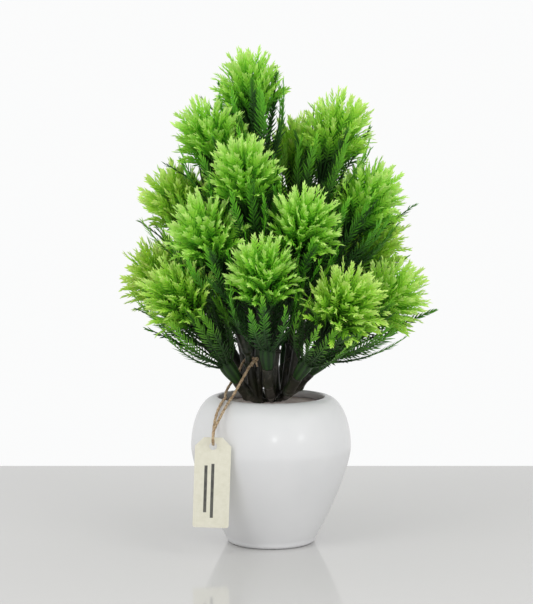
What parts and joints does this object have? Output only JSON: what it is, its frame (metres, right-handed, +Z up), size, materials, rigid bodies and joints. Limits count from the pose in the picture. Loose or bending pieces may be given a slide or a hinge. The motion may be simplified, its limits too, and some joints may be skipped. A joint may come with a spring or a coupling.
{
  "type": "artificial tabletop tree",
  "caption": "Potted artificial tree: bendable dark boughs carry push-in sprigs with feathery green heads in a round white pot, with a blank swing tag on twine.",
  "frame": {"origin": "centre of the pot's foot, on the surface it stands on", "axes": "+Z up along the pot's axis; -Y is the front, where the swing tag hangs on the left"},
  "size_m": [0.1803, 0.1776, 0.2974],
  "materials": {
    "glazed_pot": "smooth white satin glaze",
    "foam": null,
    "plaster": "matt pinkish grey plaster, slightly uneven",
    "bark_plastic": "dark brown moulded polythene with a soft shine",
    "wire": "plain drawn steel wire",
    "foliage": null,
    "tag_board": "uncoated cream card",
    "twine": "two-ply natural jute"
  },
  "bodies": {
    "planter": {"pot": "glazed_pot", "foam_core": "foam", "plaster_fill": "plaster", "root_hub": "bark_plastic", "bough_front_left": "bark_plastic", "leader": "bark_plastic", "wire_front_left": "wire", "wire_leader": "wire", "twine_upper": "twine", "twine_knot": "twine"},
    "bough_front": {"bough_front": "bark_plastic", "wire_front": "wire"},
    "bough_right": {"bough_right": "bark_plastic", "wire_right": "wire"},
    "bough_back_right": {"bough_back_right": "bark_plastic", "wire_back_right": "wire"},
    "bough_back": {"bough_back": "bark_plastic", "wire_back": "wire"},
    "bough_back_left": {"bough_back_left": "bark_plastic", "wire_back_left": "wire"},
    "bough_left": {"bough_left": "bark_plastic", "wire_left": "wire"},
    "twine_hang": {"twine_lower": "twine"},
    "tag": {"tag": "tag_board"},
    "sprig_front_left_low": {"sprig_front_left_low": "foliage"},
    "sprig_front_left_mid": {"sprig_front_left_mid": "foliage"},
    "sprig_front_left_top": {"sprig_front_left_top": "foliage"},
    "sprig_front_low": {"sprig_front_low": "foliage"},
    "sprig_front_mid": {"sprig_front_mid": "foliage"},
    "sprig_right_low": {"sprig_right_low": "foliage"},
    "sprig_right_front": {"sprig_right_front": "foliage"},
    "sprig_right_mid": {"sprig_right_mid": "foliage"},
    "sprig_back_right_low": {"sprig_back_right_low": "foliage"},
    "sprig_back_right_mid": {"sprig_back_right_mid": "foliage"},
    "sprig_back_right_top": {"sprig_back_right_top": "foliage"},
    "sprig_back_low": {"sprig_back_low": "foliage"},
    "sprig_back_mid": {"sprig_back_mid": "foliage"},
    "sprig_back_left_low": {"sprig_back_left_low": "foliage"},
    "sprig_back_left_side": {"sprig_back_left_side": "foliage"},
    "sprig_back_left_mid": {"sprig_back_left_mid": "foliage"},
    "sprig_left_low": {"sprig_left_low": "foliage"},
    "sprig_left_mid": {"sprig_left_mid": "foliage"},
    "sprig_crown_top": {"sprig_crown_top": "foliage"},
    "sprig_crown_left": {"sprig_crown_left": "foliage"},
    "sprig_crown_right": {"sprig_crown_right": "foliage"},
    "sprig_crown_back": {"sprig_crown_back": "foliage"},
    "sprig_crown_rear": {"sprig_crown_rear": "foliage"}
  },
  "joints": [
    {"name": "front_bend", "type": "hinge", "parent": "planter", "child": "bough_front", "pos_m": [0.00034, -0.00479, 0.0844], "axis": [0.9945, 0.1045, 0], "range_deg": [0, 12]},
    {"name": "right_bend", "type": "hinge", "parent": "planter", "child": "bough_right", "pos_m": [0.00398, -0.00268, 0.0844], "axis": [0.4384, 0.8988, 0], "range_deg": [0, 15]},
    {"name": "back_right_bend", "type": "hinge", "parent": "planter", "child": "bough_back_right", "pos_m": [0.00398, 0.00268, 0.0844], "axis": [-0.6157, 0.788, 0], "range_deg": [0, 12]},
    {"name": "back_bend", "type": "hinge", "parent": "planter", "child": "bough_back", "pos_m": [0.00034, 0.00479, 0.0844], "axis": [-0.9877, 0.1564, 0], "range_deg": [0, 15]},
    {"name": "back_left_bend", "type": "hinge", "parent": "planter", "child": "bough_back_left", "pos_m": [-0.00345, 0.00333, 0.0844], "axis": [-0.809, -0.5878, 0], "range_deg": [0, 15]},
    {"name": "left_bend", "type": "hinge", "parent": "planter", "child": "bough_left", "pos_m": [-0.0048, 0.00017, 0.0844], "axis": [-0.0698, -0.9976, 0], "range_deg": [0, 15]},
    {"name": "tag_swing", "type": "hinge", "parent": "planter", "child": "twine_hang", "pos_m": [-0.0252, -0.0239, 0.0886], "axis": [-0.6881, 0.7256, 0], "range_deg": [0, 50]},
    {"name": "tag_tilt", "type": "hinge", "parent": "twine_hang", "child": "tag", "pos_m": [-0.033, -0.045, 0.0654], "axis": [0, 1, 0], "range_deg": [-20, 25]},
    {"name": "front_left_low_turn", "type": "hinge", "parent": "planter", "child": "sprig_front_left_low", "pos_m": [-0.0198, -0.01547, 0.09819], "axis": [-0.4959, -0.3874, 0.7771], "continuous": true},
    {"name": "front_left_mid_turn", "type": "hinge", "parent": "planter", "child": "sprig_front_left_mid", "pos_m": [-0.01765, -0.02031, 0.12722], "axis": [-0.2978, -0.3426, 0.891], "continuous": true},
    {"name": "front_left_top_turn", "type": "hinge", "parent": "planter", "child": "sprig_front_left_top", "pos_m": [-0.0079, -0.01955, 0.15726], "axis": [-0.1281, -0.3171, 0.9397], "continuous": true},
    {"name": "front_low_turn", "type": "hinge", "parent": "bough_front", "child": "sprig_front_low", "pos_m": [-0.00195, -0.02795, 0.1073], "axis": [-0.037, -0.5286, 0.848], "continuous": true},
    {"name": "front_mid_turn", "type": "hinge", "parent": "bough_front", "child": "sprig_front_mid", "pos_m": [0.00651, -0.01789, 0.13629], "axis": [0.1913, -0.5255, 0.829], "continuous": true},
    {"name": "right_low_turn", "type": "hinge", "parent": "bough_right", "child": "sprig_right_low", "pos_m": [0.02287, -0.0057, 0.10175], "axis": [0.698, -0.174, 0.6947], "continuous": true},
    {"name": "right_front_turn", "type": "hinge", "parent": "bough_right", "child": "sprig_right_front", "pos_m": [0.01533, -0.02453, 0.10153], "axis": [0.3812, -0.61, 0.6947], "continuous": true},
    {"name": "right_mid_turn", "type": "hinge", "parent": "bough_right", "child": "sprig_right_mid", "pos_m": [0.02526, -0.00265, 0.14786], "axis": [0.4973, -0.0523, 0.866], "continuous": true},
    {"name": "back_right_low_turn", "type": "hinge", "parent": "bough_back_right", "child": "sprig_back_right_low", "pos_m": [0.02285, 0.02058, 0.09971], "axis": [0.5162, 0.4648, 0.7193], "continuous": true},
    {"name": "back_right_mid_turn", "type": "hinge", "parent": "bough_back_right", "child": "sprig_back_right_mid", "pos_m": [0.02179, 0.0088, 0.12512], "axis": [0.596, 0.2408, 0.766], "continuous": true},
    {"name": "back_right_top_turn", "type": "hinge", "parent": "bough_back_right", "child": "sprig_back_right_top", "pos_m": [0.01751, 0.01945, 0.13872], "axis": [0.3346, 0.3716, 0.866], "continuous": true},
    {"name": "back_low_turn", "type": "hinge", "parent": "bough_back", "child": "sprig_back_low", "pos_m": [0.00824, 0.02873, 0.1013], "axis": [0.1808, 0.6306, 0.7547], "continuous": true},
    {"name": "back_mid_turn", "type": "hinge", "parent": "bough_back", "child": "sprig_back_mid", "pos_m": [0.00084, 0.02397, 0.13791], "axis": [0.019, 0.5443, 0.8387], "continuous": true},
    {"name": "back_left_low_turn", "type": "hinge", "parent": "bough_back_left", "child": "sprig_back_left_low", "pos_m": [-0.0237, 0.02134, 0.11063], "axis": [-0.4677, 0.4211, 0.7771], "continuous": true},
    {"name": "back_left_side_turn", "type": "hinge", "parent": "bough_back_left", "child": "sprig_back_left_side", "pos_m": [-0.00824, 0.02873, 0.1013], "axis": [-0.1808, 0.6306, 0.7547], "continuous": true},
    {"name": "back_left_mid_turn", "type": "hinge", "parent": "bough_back_left", "child": "sprig_back_left_mid", "pos_m": [-0.01468, 0.0175, 0.1426], "axis": [-0.3214, 0.383, 0.866], "continuous": true},
    {"name": "left_low_turn", "type": "hinge", "parent": "bough_left", "child": "sprig_left_low", "pos_m": [-0.02729, 0.0058, 0.10636], "axis": [-0.6156, 0.1308, 0.7771], "continuous": true},
    {"name": "left_mid_turn", "type": "hinge", "parent": "bough_left", "child": "sprig_left_mid", "pos_m": [-0.02573, -0.0009, 0.14531], "axis": [-0.4537, -0.0158, 0.891], "continuous": true},
    {"name": "crown_top_turn", "type": "hinge", "parent": "planter", "child": "sprig_crown_top", "pos_m": [-0.00582, 0.00072, 0.20493], "axis": [-0.1037, 0.0127, 0.9945], "continuous": true},
    {"name": "crown_left_turn", "type": "hinge", "parent": "planter", "child": "sprig_crown_left", "pos_m": [-0.01478, -0.00538, 0.17907], "axis": [-0.3214, -0.117, 0.9397], "continuous": true},
    {"name": "crown_right_turn", "type": "hinge", "parent": "planter", "child": "sprig_crown_right", "pos_m": [0.01854, -0.00195, 0.18013], "axis": [0.3073, -0.0323, 0.9511], "continuous": true},
    {"name": "crown_back_turn", "type": "hinge", "parent": "planter", "child": "sprig_crown_back", "pos_m": [0.00765, 0.01438, 0.17066], "axis": [0.1451, 0.2728, 0.9511], "continuous": true},
    {"name": "crown_rear_turn", "type": "hinge", "parent": "planter", "child": "sprig_crown_rear", "pos_m": [-0.00978, 0.01165, 0.17283], "axis": [-0.1879, 0.224, 0.9563], "continuous": true}
  ]
}
